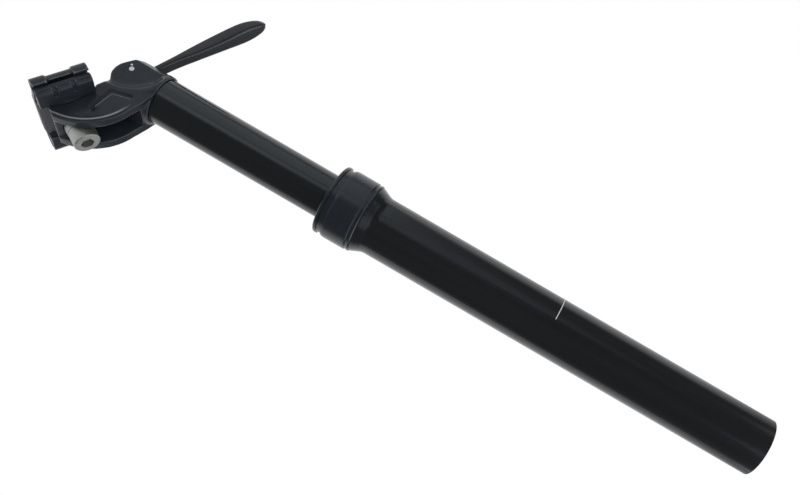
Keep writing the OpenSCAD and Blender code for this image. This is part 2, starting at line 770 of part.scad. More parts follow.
// Section of one upper wing from its inner edge: a roof over the rail and the lip outside it
module upper_wing_section(inner, reach, out) union() {
    translate([inner, half_gap]) square([rail_y - inner, upper_r + out - half_gap]);
    intersection() {
        translate([rail_y, 0]) circle(r = upper_r + out);
        union() {
            translate([rail_y, half_gap]) square(2 * upper_r);
            translate([lip_y, -reach]) square(2 * upper_r);
        }
    }
}

// Plan of the upper half: full length over the middle, shorter over the rails
module upper_plan() polygon([for (p = [[-1, 1], [1, 1]], q = p[0] < 0 ? [0, 1, 2, 3] : [3, 2, 1, 0])
    let (x = q < 2 ? middle_len / 2 - half_gap : wing_len / 2, y = q == 0 ? 0 : q == 1 ? head_w / 2
        : q == 2 ? head_w / 2 + groove_out_r : 2 * rail_y) [p[0] * x, y]]);

module upper_clamp() color(forged) clamp_frame() difference() {
    union() {
        intersection() {
            rail_bar(-middle_len / 2, middle_len / 2) upper_wing_section(0, lip_reach, 0);
            translate([0, 0, -middle_len]) linear_extrude(2 * middle_len) {
                upper_plan();
                mirror([0, 1]) upper_plan();
            }
        }
        intersection() {
            translate([half_gap - middle_len / 2, -head_w / 2, half_gap])
                cube([middle_len - clamp_gap, head_w, upper_h]);
            translate([0, 0, half_gap + upper_h - crown_r]) rotate([90, 0, 0])
                cylinder(h = 2 * head_w, r = crown_r, center = true);
        }
        for (from = [-wing_len / 2, wing_len / 2 - ear_len])
            rail_bar(from, from + ear_len) upper_wing_section(rail_y - upper_r, ear_reach, ear_out);
    }
    rails(rail_r, 2 * middle_len);
    cylinder(h = 4 * cradle_r, r = bolt_hole_r, center = true);
    hex(nut_pocket_flats, nut_seat, 2 * nut_top);
}

module clamp_bolt() color(silver) clamp_frame() difference() {
    union() {
        rod(bolt_head_r, arc_c - head_foot + edge, arc_c - washer_foot);
        translate([0, 0, arc_c - head_foot]) cylinder(h = edge, r1 = bolt_head_r - edge, r2 = bolt_head_r);
        rod(bolt_r, arc_c - washer_foot, bolt_top);
    }
    hex(hex_key, arc_c - head_foot - over, arc_c - head_foot + bolt_head_h / 2);
}

module clamp_washer() color(silver) clamp_frame() difference() {
    translate([0, 0, arc_c - washer_foot]) cylinder(h = washer_foot, d = washer_w);
    translate([0, 0, arc_c]) rotate([90, 0, 0]) cylinder(h = 2 * washer_w, r = washer_top_r, center = true);
    cylinder(h = 4 * cradle_r, r = bolt_r + fit, center = true);
}

module clamp_nut() color(silver) clamp_frame() difference() {
    hex(nut_flats, nut_seat, nut_top);
    rod(bolt_r + fit, nut_seat - over, nut_top + over);
}

outer_tube();
collar_nut();
wiper_seal();
upper_bushing();
base_plug();
base_bolt();
bottom_bumper();
cartridge_rod();
rod_piston();
piston_nut();
inner_tube();
lower_bushing();
anti_rotation_keys();
topout_bumper();
cartridge_body();
cartridge_gland();
cartridge_cap();
inner_cylinder();
valve_pin();
head();
lever_pivot_pin();
pin_lock_screw();
lever();
lower_clamp();
upper_clamp();
clamp_bolt();
clamp_washer();
clamp_nut();
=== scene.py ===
# %% [markdown]
# # A dropper seatpost, dressed over its CAD frame
#
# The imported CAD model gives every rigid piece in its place, in metres. Z runs up the post, X points forward
# to the lever, and the rider's right side is at minus Y. This lesson adds what CAD leaves out: the camera,
# soft studio light, a finish for every piece, the soft skins of the forgings, the rolled flare of the lower
# tube and the painted insertion mark. Names in capitals are sizes and settings. Lengths are in millimetres
# unless a comment says metres, and what the frame knows is read from it.

# %% Load the frame
import json
import math

import bmesh
import bpy
import numpy as np
from mathutils import Matrix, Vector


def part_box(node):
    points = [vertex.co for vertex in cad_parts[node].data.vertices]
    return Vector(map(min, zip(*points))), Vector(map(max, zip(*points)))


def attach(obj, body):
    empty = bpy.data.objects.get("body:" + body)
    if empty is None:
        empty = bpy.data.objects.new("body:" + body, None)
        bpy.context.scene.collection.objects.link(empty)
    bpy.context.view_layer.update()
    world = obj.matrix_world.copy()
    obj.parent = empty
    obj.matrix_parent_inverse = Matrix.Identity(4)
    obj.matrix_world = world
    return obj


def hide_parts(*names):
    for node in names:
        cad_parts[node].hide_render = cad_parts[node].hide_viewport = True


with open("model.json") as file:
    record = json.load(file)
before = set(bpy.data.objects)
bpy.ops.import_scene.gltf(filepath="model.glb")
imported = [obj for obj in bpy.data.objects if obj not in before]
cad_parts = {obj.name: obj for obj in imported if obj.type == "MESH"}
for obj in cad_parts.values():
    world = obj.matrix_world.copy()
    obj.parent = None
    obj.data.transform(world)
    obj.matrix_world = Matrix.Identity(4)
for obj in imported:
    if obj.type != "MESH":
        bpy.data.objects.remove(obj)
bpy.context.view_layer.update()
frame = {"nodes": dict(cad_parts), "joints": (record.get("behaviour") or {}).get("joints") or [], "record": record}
NODES = frame["nodes"]
MM = 0.001

# %% [markdown]
# ## The camera
#
# The photograph looks at the post from the rear right, square to its axis, from about half a metre. The post
# lies diagonally in the picture. It could be laid over, but the frame holds it upright, so the camera is
# rolled about its own view line. The post isn't in the middle of the picture, and turning the camera to put
# it there would bend its outlines, so a small lens shift does it.

# %% The camera at the photograph's angle
# The turn from straight right of the post towards the rear, and the roll about the view line
AZIMUTH, ROLL = math.radians(27), math.radians(30.1484)
# The height on the post's axis that the camera is level with, and its distance from there
AIM_HEIGHT, DISTANCE = 159.33, 480.2
LENS, SENSOR = 41.85, 36
# Shares of the picture's width
SHIFT = (-0.115, 0.0559)

across = np.array([math.cos(AZIMUTH), -math.sin(AZIMUTH), 0.0])
towards = np.array([-math.sin(AZIMUTH), -math.cos(AZIMUTH), 0.0])
upward = np.array([0.0, 0.0, 1.0])
right = math.sin(ROLL) * across - math.cos(ROLL) * upward
up = math.cos(ROLL) * across + math.sin(ROLL) * upward
place = (AIM_HEIGHT * upward + DISTANCE * towards) * MM

scene = bpy.context.scene
camera_data = bpy.data.cameras.new("camera")
camera_data.sensor_width, camera_data.lens = SENSOR, LENS
camera_data.shift_x, camera_data.shift_y = SHIFT
camera = bpy.data.objects.new("camera", camera_data)
scene.collection.objects.link(camera)
turn = np.eye(4)
turn[:3, 0], turn[:3, 1], turn[:3, 2], turn[:3, 3] = right, up, towards, place
camera.matrix_world = Matrix(turn.tolist())
scene.camera = camera
print("camera at", place.round(4).tolist())

# %% [markdown]
# ## The white studio
#
# The product was shot on a white sweep under a white ceiling, and the room behind the photographer was dim.
# That is what draws the picture. A black tube mirrors the dim room over half its width, then a lit panel and
# the greyer ceiling above it as one broad pale band with a clear edge, and the white sweep in a thin bright
# line along both rims. What points straight up mirrors the brightest part of the ceiling, and what points
# down mirrors the dim room again. Cards and lamps round the post could give the same, but each would also
# light it. So the world is such a room. The camera sees it plain white, reflections see the room, and the
# light that only fills comes evenly from all sides at one plain level.

# %% A world with its own maths
scene.view_settings.view_transform = "Standard"
world = bpy.data.worlds.new("white_tent")
scene.world = world
world.use_nodes = True
tree = world.node_tree
tree.nodes.clear()
ray = tree.nodes.new("ShaderNodeTexCoord")
path = tree.nodes.new("ShaderNodeLightPath")


def world_math(operation, a, b):
    """One maths node of the world: the operation on a and b, each a number or another node's output."""
    node = tree.nodes.new("ShaderNodeMath")
    node.operation = operation
    for socket, value in zip(node.inputs, (a, b)):
        if isinstance(value, (int, float)):
            socket.default_value = value
        else:
            tree.links.new(value, socket)
    return node.outputs[0]


def world_ramp(axis, low, high):
    """0 where the part of a ray's direction along the axis is below low, 1 above high, and smooth between."""
    dot = tree.nodes.new("ShaderNodeVectorMath")
    dot.operation = "DOT_PRODUCT"
    tree.links.new(ray.outputs["Generated"], dot.inputs[0])
    dot.inputs[1].default_value = axis.tolist()
    ramp_node = tree.nodes.new("ShaderNodeMapRange")
    ramp_node.interpolation_type = "SMOOTHSTEP"
    ramp_node.inputs["From Min"].default_value, ramp_node.inputs["From Max"].default_value = low, high
    tree.links.new(dot.outputs["Value"], ramp_node.inputs["Value"])
    return ramp_node.outputs["Result"]


# %% The room that reflections see
# Each pair of numbers says where an area begins and where it is full, by how far a ray points away from the
# camera, up in the world, up in the picture or to the picture's left. The lights are shares of white.
SWEEP_AWAY, SWEEP_LEVEL = (0.08, 0.4), (-0.42, -0.2)
PANEL_FOOT, PANEL_TOP, PANEL_SIDE, PANEL_LIGHT = (0.34, 0.46), (0.5, 0.85), (-0.35, 0.1), 0.85
CEILING_FOOT, CEILING_SIDE, CEILING_LIGHT = (0.38, 0.5), (-0.55, -0.35), 0.34
OVERHEAD, OVERHEAD_LIGHT = (0.5, 0.75), 0.95
DIM_ROOM = 0.18

sweep = world_math("MULTIPLY", world_ramp(-towards, *SWEEP_AWAY), world_ramp(upward, *SWEEP_LEVEL))
panel = world_math("SUBTRACT", world_ramp(up, *PANEL_FOOT), world_ramp(up, *PANEL_TOP))
panel = world_math("MULTIPLY", world_math("MULTIPLY", panel, PANEL_LIGHT), world_ramp(-right, *PANEL_SIDE))
ceiling = world_math("ADD", world_math("MULTIPLY", world_ramp(up, *CEILING_FOOT), CEILING_LIGHT), panel)
ceiling = world_math("MULTIPLY", ceiling, world_ramp(-right, *CEILING_SIDE))
overhead = world_math("MULTIPLY", world_ramp(upward, *OVERHEAD), OVERHEAD_LIGHT)
lit_parts = world_math("MAXIMUM", sweep, world_math("MAXIMUM", ceiling, overhead))
room = world_math("ADD", world_math("MULTIPLY", lit_parts, 1 - DIM_ROOM), DIM_ROOM)
print("the room has", len(tree.nodes), "nodes")

# %% White for the camera, the room for reflections, an even fill for the rest
FILL = 0.6

seen = tree.nodes.new("ShaderNodeBackground")
seen.inputs["Color"].default_value = (1, 1, 1, 1)
tree.links.new(world_math("MAXIMUM", path.outputs["Is Camera Ray"], room), seen.inputs["Strength"])
lit = tree.nodes.new("ShaderNodeBackground")
lit.inputs["Color"].default_value = (1, 1, 1, 1)
lit.inputs["Strength"].default_value = FILL
mirrored = world_math("MAXIMUM", path.outputs["Is Glossy Ray"], path.outputs["Is Transmission Ray"])
mix = tree.nodes.new("ShaderNodeMixShader")
out = tree.nodes.new("ShaderNodeOutputWorld")
tree.links.new(world_math("MAXIMUM", path.outputs["Is Camera Ray"], mirrored), mix.inputs["Fac"])
tree.links.new(lit.outputs[0], mix.inputs[1])
tree.links.new(seen.outputs[0], mix.inputs[2])
tree.links.new(mix.outputs[0], out.inputs["Surface"])
print("fill strength:", FILL)

# %% [markdown]
# ## Soft lamps
#
# Even light alone leaves a black forging flat, so three large weak lamps shape it: one over the post, one
# beside the camera that reflections don't see, and a low one behind that lifts the undersides. Small lamps
# would do it with less power, but they would draw hard spots on the tubes. Places and sizes here are in
# metres and powers in watts. A few watts over so large an area keep the light at its plain level.


# %% One helper for the lamps
def soft_lamp(name, at, aim, size, power):
    """A rectangular lamp of size (width, height) metres at a point, facing another. Its back axis is the unit
    vector from aim to at, its width is level, along the cross product of straight up with that, and its
    height is the cross product of the two."""
    data = bpy.data.lights.new(name, "AREA")
    data.shape = "RECTANGLE"
    data.size, data.size_y = size
    data.energy = power
    lamp = bpy.data.objects.new(name, data)
    scene.collection.objects.link(lamp)
    back = np.array(at, float) - np.array(aim, float)
    back /= np.linalg.norm(back)
    side = np.cross([0.0, 0.0, 1.0], back)
    side /= np.linalg.norm(side)
    pose = np.eye(4)
    pose[:3, 0], pose[:3, 1], pose[:3, 2], pose[:3, 3] = side, np.cross(back, side), back, at
    lamp.matrix_world = Matrix(pose.tolist())
    return lamp


# %% Put the lamps in their places
POST_MIDDLE = np.array([0.0, 0.0, 0.25])
OVER_POST = POST_MIDDLE + 1.0 * up + 0.35 * towards
BESIDE_CAMERA = POST_MIDDLE + 1.2 * towards - 0.3 * upward
LOW_BEHIND, UNDER_HEAD = [0.0, 0.15, -0.2], [0.03, 0.0, 0.35]

soft_lamp("ceiling_box", OVER_POST, POST_MIDDLE, size=(0.9, 0.9), power=1)
front = soft_lamp("front_fill", BESIDE_CAMERA, POST_MIDDLE, size=(0.8, 0.8), power=3)
front.visible_glossy = False
low = soft_lamp("low_strip", LOW_BEHIND, UNDER_HEAD, size=(0.55, 0.45), power=1)
low.visible_camera = False

# %% [markdown]
# ## The floor
#
# The post has no foot of its own, because a frame holds it by its lower tube. It is shown free above a plain
# white floor that still takes a soft shadow. More light would make the floor white, but the post pale as
# well. So its paint glows for the camera, where it runs into the white behind it, and hardly for other rays.

# %% A plain floor
# Metres below the post's lower end, and half its width
FLOOR_DEPTH, FLOOR_HALF = 0.25, 0.6
FLOOR_LINES = 5

span = np.linspace(-FLOOR_HALF, FLOOR_HALF, FLOOR_LINES)
grid_x, grid_y = np.meshgrid(span, span, indexing="ij")
floor_points = np.stack([grid_x, grid_y, np.full_like(grid_x, -FLOOR_DEPTH)], axis=-1).reshape(-1, 3)
spot_at = np.arange(FLOOR_LINES**2).reshape(FLOOR_LINES, FLOOR_LINES)
floor_loops = [spot_at[:-1, :-1], spot_at[1:, :-1], spot_at[1:, 1:], spot_at[:-1, 1:]]
floor_faces = np.stack(floor_loops, axis=-1).reshape(-1, 4)
floor_mesh = bpy.data.meshes.new("floor")
floor_mesh.from_pydata(floor_points.tolist(), [], floor_faces.tolist())
floor = bpy.data.objects.new("floor", floor_mesh)
scene.collection.objects.link(floor)
print("floor squares:", len(floor_faces))

# %% Its white paint
FLOOR_GLOW, GLOW_ELSEWHERE = 0.5, 0.1

floor_paint = bpy.data.materials.new("floor_white")
floor_paint.use_nodes = True
paint_nodes, paint_links = floor_paint.node_tree.nodes, floor_paint.node_tree.links
paint = paint_nodes["Principled BSDF"]
paint.inputs["Base Color"].default_value = (0.9, 0.9, 0.9, 1)
paint.inputs["Roughness"].default_value = 0.8
paint.inputs["Emission Color"].default_value = (1, 1, 1, 1)
floor_path = paint_nodes.new("ShaderNodeLightPath")
floor_seen = paint_nodes.new("ShaderNodeMath")
floor_seen.operation = "MAXIMUM"
floor_seen.inputs[1].default_value = GLOW_ELSEWHERE
floor_glow = paint_nodes.new("ShaderNodeMath")
floor_glow.operation = "MULTIPLY"
floor_glow.inputs[1].default_value = FLOOR_GLOW
paint_links.new(floor_path.outputs["Is Camera Ray"], floor_seen.inputs[0])
paint_links.new(floor_seen.outputs[0], floor_glow.inputs[0])
paint_links.new(floor_glow.outputs[0], paint.inputs["Emission Strength"])
floor_mesh.materials.append(floor_paint)
print("the floor glows at", FLOOR_GLOW, "for the camera")

# %% [markdown]
# ## How a finish is built
#
# Anodised, coated and plated metal all vary a little: slow clouds of tone, a fine grain in the gloss and tiny
# pits that only show in a highlight. One helper sets up those three layers from noise in Object coordinates,
# which stay with the piece when it moves. It can also paint a highlight along proud edges, a lighter colour
# mixed in where the shape bulges. A picture could be painted with all that, but nodes need no picture and
# hold at any distance. Each finish then only chooses its colours, its grain and its gloss.


# %% Noise, and a painted highlight on proud edges
def noise_value(nodes, links, where, cells, layers):
    """The value of a noise with so many cells per metre, and so many finer layers added to it."""
    noise = nodes.new("ShaderNodeTexNoise")
    noise.inputs["Scale"].default_value = cells
    noise.inputs["Detail"].default_value = layers
    links.new(where, noise.inputs["Vector"])
    return noise.outputs["Fac"]


def paint_edge_highlight(nodes, links, colour, highlight_colour, fine):
    """The colour with a lighter one mixed in as a painted highlight, by the highlight attribute times a fine
    noise.
    """
    wear = nodes.new("ShaderNodeAttribute")
    wear.attribute_name = "wear"
    share = nodes.new("ShaderNodeMath")
    share.operation = "MULTIPLY"
    links.new(wear.outputs["Fac"], share.inputs[0])
    links.new(fine, share.inputs[1])
    blend = nodes.new("ShaderNodeMix")
    blend.data_type = "RGBA"
    # The node has sockets of the same names for other kinds of data, so these three go by number
    colour_a, colour_b, mixed = blend.inputs[6], blend.inputs[7], blend.outputs[2]
    links.new(share.outputs[0], blend.inputs["Factor"])
    links.new(colour, colour_a)
    colour_b.default_value = (*highlight_colour, 1)
    return mixed


# %% One helper for metal, rubber and plastic finishes
# Nearly all of a noise lies between these two, and a cloud of tone is so many grains wide
NOISE_LOW, NOISE_HIGH = 0.3, 0.7
CLOUD = 12
SLOW_LAYERS, FINE_LAYERS = 3, 4


def finish(name, dark, light, gloss, grain, pits=0.0, metal=0.0, specular=0.5, stretch=(1, 1, 1), highlight_colour=None,
           tint=(1, 1, 1)):
    """A material whose colour drifts from dark to light with a slow noise, whose roughness wanders between
    the two values in gloss with a fine noise of grain cells per metre, and whose surface has pits of that
    height in millimetres. stretch draws the noise out along an axis, as turning or drawing marks are. The
    edge colour, when given, is a painted highlight along proud edges, and tint is the colour of a mirrored white."""
    material = bpy.data.materials.new(name)
    material.use_nodes = True
    nodes, links = material.node_tree.nodes, material.node_tree.links
    shader = nodes["Principled BSDF"]
    shader.inputs["Metallic"].default_value = metal
    shader.inputs["Specular IOR Level"].default_value = specular
    shader.inputs["Specular Tint"].default_value = (*tint, 1)
    spot = nodes.new("ShaderNodeTexCoord")
    drawn_out = nodes.new("ShaderNodeMapping")
    drawn_out.inputs["Scale"].default_value = stretch
    links.new(spot.outputs["Object"], drawn_out.inputs["Vector"])
    slow = noise_value(nodes, links, drawn_out.outputs["Vector"], grain / CLOUD, SLOW_LAYERS)
    fine = noise_value(nodes, links, drawn_out.outputs["Vector"], grain, FINE_LAYERS)
    tone = nodes.new("ShaderNodeValToRGB")
    for stop, position, shade in zip(tone.color_ramp.elements, (NOISE_LOW, NOISE_HIGH), (dark, light)):
        stop.position, stop.color = position, (*shade, 1)
    links.new(slow, tone.inputs["Fac"])
    colour = tone.outputs["Color"]
    # The painted highlight: a lighter colour along proud edges, standing in for the light they catch
    if highlight_colour:
        colour = paint_edge_highlight(nodes, links, colour, highlight_colour, fine)
    links.new(colour, shader.inputs["Base Color"])
    shine = nodes.new("ShaderNodeMapRange")
    shine.inputs["From Min"].default_value, shine.inputs["From Max"].default_value = NOISE_LOW, NOISE_HIGH
    shine.inputs["To Min"].default_value, shine.inputs["To Max"].default_value = gloss
    links.new(fine, shine.inputs["Value"])
    links.new(shine.outputs["Result"], shader.inputs["Roughness"])
    if pits:
        bump = nodes.new("ShaderNodeBump")
        bump.inputs["Strength"].default_value = 1.0
        bump.inputs["Distance"].default_value = pits * MM
        links.new(fine, bump.inputs["Height"])
        links.new(bump.outputs["Normal"], shader.inputs["Normal"])
    return material


# %% [markdown]
# ## The finishes of this post
#
# The tubes are black anodised aluminium: nearly black, smooth, with the faint lengthwise lines of drawn tube.
# The dyed oxide layer gives what it mirrors a cool tint, on the collar too, whose fine lines run round it
# from the lathe. The head, the clamp halves and the lever are forged and coated satin black, with a fine
# grain and a cool tone. The bolt and its curved washer are zinc plated and read as pale silver with a touch
# of green. What nobody sees until the post is taken apart is finished too: bare cartridge, polished rod,
# brass keys, rubber.

# %% The outer finishes
OXIDE_TINT = (0.8, 0.91, 1.0)

tube_black = finish("tube_black", (0.0048, 0.0046, 0.0052), (0.0084, 0.0084, 0.0098), (0.13, 0.19), 3000,
                    specular=0.57, stretch=(1, 1, 0.04), tint=OXIDE_TINT)
collar_black = finish("collar_black", (0.0095, 0.011, 0.0145), (0.0135, 0.0155, 0.020), (0.2, 0.28), 2500,
                      pits=0.003, stretch=(1, 1, 6), tint=OXIDE_TINT)
# The lighter edge colours are painted highlights: bright on the head and clamp halves, faint on the lever
forged_black = finish("forged_black", (0.017, 0.021, 0.028), (0.024, 0.029, 0.037), (0.2, 0.28), 1800,
                      pits=0.012, specular=0.22, highlight_colour=(0.3, 0.31, 0.32))
lever_black = finish("lever_black", (0.011, 0.0145, 0.0195), (0.0155, 0.0195, 0.0255), (0.22, 0.3), 1800,
                     pits=0.012, specular=0.42, highlight_colour=(0.045, 0.05, 0.055))
zinc = finish("zinc_plate", (0.36, 0.38, 0.36), (0.46, 0.48, 0.45), (0.4, 0.5), 2000, pits=0.006, metal=0.9)
pin_steel = finish("pin_steel", (0.5, 0.53, 0.53), (0.62, 0.65, 0.65), (0.3, 0.4), 3000, metal=1.0)
seal_rubber = finish("seal_rubber", (0.006, 0.006, 0.006), (0.012, 0.012, 0.012), (0.5, 0.7), 2500, pits=0.02)
mark_white = finish("mark_white", (0.6, 0.61, 0.62), (0.72, 0.73, 0.74), (0.5, 0.6), 4000)
print("materials with those of the frame:", len(bpy.data.materials))

# %% The finishes inside
rod_steel = finish("rod_steel", (0.6, 0.6, 0.61), (0.68, 0.68, 0.69), (0.08, 0.15), 4000, metal=1.0)
plain_alloy = finish("plain_alloy", (0.62, 0.62, 0.64), (0.7, 0.7, 0.72), (0.25, 0.4), 2500, metal=1.0,
                     stretch=(1, 1, 0.05))
plug_black = finish("plug_black", (0.006, 0.006, 0.007), (0.012, 0.012, 0.013), (0.25, 0.35), 2500)
key_brass = finish("key_brass", (0.62, 0.45, 0.19), (0.7, 0.52, 0.24), (0.2, 0.3), 3000, metal=1.0)
slide_plastic = finish("slide_plastic", (0.03, 0.03, 0.032), (0.05, 0.05, 0.052), (0.4, 0.5), 2000)
print("materials with those of the frame:", len(bpy.data.materials))

# %% Put a finish on every CAD node
FINISH_OF = {
    "outer_tube": tube_black, "inner_tube": tube_black, "collar_nut": collar_black,
    "head": forged_black, "lower_clamp": forged_black, "upper_clamp": forged_black, "lever": lever_black,
    "clamp_bolt": zinc, "clamp_washer": zinc, "clamp_nut": zinc, "base_bolt": zinc, "piston_nut": zinc,
    "lever_pivot_pin": pin_steel, "pin_lock_screw": pin_steel,
    "wiper_seal": seal_rubber, "bottom_bumper": seal_rubber, "topout_bumper": seal_rubber,
    "cartridge_rod": rod_steel, "valve_pin": rod_steel,
    "cartridge_body": plain_alloy, "inner_cylinder": plain_alloy, "rod_piston": plain_alloy,
    "cartridge_gland": plug_black, "cartridge_cap": plug_black, "base_plug": plug_black,
    "anti_rotation_keys": key_brass, "upper_bushing": slide_plastic, "lower_bushing": slide_plastic,
}
for name, node in NODES.items():
    node.data.materials.clear()
    node.data.materials.append(FINISH_OF[name])
print("dressed:", len(FINISH_OF), "nodes in", len(set(FINISH_OF.values())), "finishes")

# %% [markdown]
# ## The soft edges of a forging
#
# A forged part leaves its die with every corner rounded, and the coating rounds it a little more. The CAD
# solid has sharp corners. A bevel could round them, but it fails where many edges cross. So a copy of the
# mesh is welded and rebuilt as an even skin of small squares, and then each point moves towards the middle of
# its neighbours. That rounds all corners alike and keeps the faces where they are. Where two faces should run
# into one another, as below the lever housing, the same step is repeated many more times, and where a
# machined edge must stay it is left out.


# %% An even skin over a CAD node
# Points that lie closer are one
WELD_GAP = 0.002


def even_skin(node, cell):
    """A new mesh of squares with sides of cell millimetres, over a welded copy of a CAD node."""
    rough = bpy.data.objects.new("rough", NODES[node].data.copy())
    scene.collection.objects.link(rough)
    weld = rough.modifiers.new("weld", "WELD")
    weld.merge_threshold = WELD_GAP * MM
    skin = rough.modifiers.new("skin", "REMESH")
    skin.mode = "VOXEL"
    skin.voxel_size = cell * MM
    skin.use_smooth_shade = True
    mesh = bpy.data.meshes.new_from_object(rough.evaluated_get(bpy.context.evaluated_depsgraph_get()))
    bpy.data.objects.remove(rough)
    mesh.name = node + "_forged"
    return mesh


def read_points(mesh):
    """The places of a mesh's points in millimetres, one row each."""
    flat = np.empty(3 * len(mesh.vertices))
    mesh.vertices.foreach_get("co", flat)
    return flat.reshape(-1, 3) / MM


# %% Easing and ramps
def eased(points, edges, share, rounds):
    """Points moved so many rounds by half their share of the way to the mean of the points that share an edge
    with them. share is one number from 0 to 1 for each point."""
    ends, others = np.concatenate([edges, edges[:, ::-1]]).T
    count = np.bincount(ends, minlength=len(points))[:, None]
    for _ in range(rounds):
        total = np.stack([np.bincount(ends, points[others, k], len(points)) for k in range(3)], axis=-1)
        points = points + 0.5 * share[:, None] * (total / count - points)
    return points


def ramp(value, low, high):
    """0 where value is below low, 1 where it is above high, and 3 t^2 - 2 t^3 of the way t between."""
    t = np.clip((value - low) / (high - low), 0, 1)
    return t * t * (3 - 2 * t)


# %% How bright each edge's painted highlight is
HIGHLIGHT_ROUNDS = 8
# How many cells an edge sinks where its painted highlight sets in and where it is full
HIGHLIGHT_FROM, HIGHLIGHT_FULL = 0.2, 0.4


def mark_painted_highlight(mesh, points, edges, cell, edge_highlight, extra_highlight):
    """The painted highlight attribute: it grows to the given edge strength with how far a point would sink
    along its normal in eight more rounds, in cells, so it paints outer edges lighter. The function of the
    points, if given, adds painted highlight lines of its own."""
    normals = np.empty(points.size)
    mesh.vertices.foreach_get("normal", normals)
    sunk = points - eased(points, edges, np.ones(len(points)), HIGHLIGHT_ROUNDS)
    bulge = np.sum(sunk * normals.reshape(-1, 3), axis=-1)
    highlight_share = edge_highlight * ramp(bulge / cell, HIGHLIGHT_FROM, HIGHLIGHT_FULL)
    if extra_highlight:
        highlight_share = np.maximum(highlight_share, extra_highlight(points))
    wear = mesh.attributes.new("wear", "FLOAT", "POINT")
    wear.data.foreach_set("value", highlight_share.astype(np.float32))


# %% A forged skin that replaces its node
def forged_skin(node, body, material, cell, rounds, share=None, blends=(), press=None, extra_highlight=None,
                edge_highlight=0.35):
    """A new piece over a CAD node, eased all over for so many rounds. share gives the part of that which each
    point takes, and blends lists further pairs of (rounds, share) for faces that run into one another. press
    returns the points after a small change of the die, before the easing. share, press and the lines of painted
    highlight are functions of the points in millimetres; the edge strength sets the painted highlight on edges."""
    mesh = even_skin(node, cell)
    points = read_points(mesh)
    edges = np.empty(2 * len(mesh.edges), int)
    mesh.edges.foreach_get("vertices", edges)
    edges = edges.reshape(-1, 2)
    if press:
        points = press(points)
    for turns, part in [*blends, (rounds, share)]:
        points = eased(points, edges, part(points) if part else np.ones(len(points)), turns)
    mesh.vertices.foreach_set("co", (points * MM).ravel())
    mesh.update()
    mark_painted_highlight(mesh, points, edges, cell, edge_highlight, extra_highlight)
    mesh.materials.clear()
    mesh.materials.append(material)
    piece = bpy.data.objects.new(node + "_forged", mesh)
    scene.collection.objects.link(piece)
    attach(piece, body)
    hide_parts(node)
    print(piece.name, "has", len(mesh.polygons), "squares")
    return piece


# %% [markdown]
# ## The head
#
# The head is one forging with two places that need care. The bore round the inner tube is machined, so its
# edge stays sharp. The flat sides of the lever housing run into the crescent cheeks in a wide soft crease.
# Each place could be a skin of its own, but where the skins meet a seam would show. So there is one skin, and
# each place is a share from 0 to 1 for every point: the bore gets no easing, and the crease many more rounds.

# %% Keep the machined bore sharp
# The frame gives the height of the clamp's tilt centre, and the base of the head is so far below it
JOINTS = {joint["name"]: joint for joint in frame["joints"]}
TILT_UP = 48.3
HEAD_BASE = JOINTS["clamp_tilt"]["pos_m"][2] / MM - TILT_UP
POST_RADIUS = round(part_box("inner_tube")[1].x / MM, 3)
# Distances outside the inner tube, and heights above the base, over which the easing sets in
BORE_EDGE, SOCKET_TOP = (0.3, 0.9), (5, 7)
print("the head's base is at", round(HEAD_BASE, 3), "and the inner tube's radius is", POST_RADIUS)


def clear_of_socket(points):
    """1 on most of the head and 0 at the machined bore round the inner tube: a ramp on the distance from the
    post's axis, lifted away above the socket."""
    outside = ramp(np.hypot(points[:, 0], points[:, 1]) - POST_RADIUS, *BORE_EDGE)
    return np.maximum(outside, ramp(points[:, 2] - HEAD_BASE, *SOCKET_TOP))


# %% Let the housing run into the cheeks
# The round scoop under the housing as [x, z], and the crease's middle outside it and half width
SCOOP_CENTRE, SCOOP_RADIUS = np.array([10.1, HEAD_BASE + 23.9]), 20.1
CREASE_OUT, CREASE_HALF = 1.0, (2.5, 5.5)
# Distances from the middle plane, and heights above the base, over which the crease sets in
OUTER_SIDES, ABOVE_RING = (7.5, 8.8), (2.5, 5)


def under_housing(points):
    """1 along the round crease between the lever housing's flat sides and the cheeks, and 0 elsewhere: a band
    just outside the scoop's circle, on the outer sides only and above the base ring."""
    off = np.linalg.norm(points[:, [0, 2]] - SCOOP_CENTRE, axis=1) - SCOOP_RADIUS
    band = 1 - ramp(np.abs(off - CREASE_OUT), *CREASE_HALF)
    return band * ramp(np.abs(points[:, 1]), *OUTER_SIDES) * ramp(points[:, 2] - HEAD_BASE, *ABOVE_RING)


# %% [markdown]
# ## The groove in each cheek
#
# The die presses a groove into each cheek, in the shape of a wide V whose rear end hooks in. It could be a
# bump in the material, but its walls catch the light from all sides, so it is pressed into the skin itself.
# The CAD head has a three-cornered hollow there, deeper than the nearly flat face inside the real V. So the
# skin fills most of the hollow, and sinks by its distance from a bent line just outside the hollow's two
# upper edges.

# %% The course of the groove, drawn on a cheek
# Half the width over the cheeks, and as [x, z] the centre of their round rim with its bead's middle line
CHEEK = 12.5
RIM_CENTRE, BEAD_RADIUS = np.array([-12.5, HEAD_BASE + 34.2]), 29.2
# The deep corner of the CAD's hollow, the directions of its two upper edges, and the ways out across them
HOLLOW_CORNER = np.array([-16.9, HEAD_BASE + 16.19])
FRONT_ARM, REAR_ARM = np.array([0.296, -0.955]), np.array([-0.986, 0.165])
FRONT_OUT, REAR_OUT = np.array([-FRONT_ARM[1], FRONT_ARM[0]]), np.array([REAR_ARM[1], -REAR_ARM[0]])
# How far each end of the groove lies along an edge and outside it, and its turn seen from the deep corner
FRONT_END, REAR_BEND, REAR_END = (9.3, 1.0), (10.8, 1.4), (12.7, -0.1)
GROOVE_TURN = [0.82, 1.08]
# How far the edge between groove and hollow goes to the rear
EDGE_LONG = 11.2

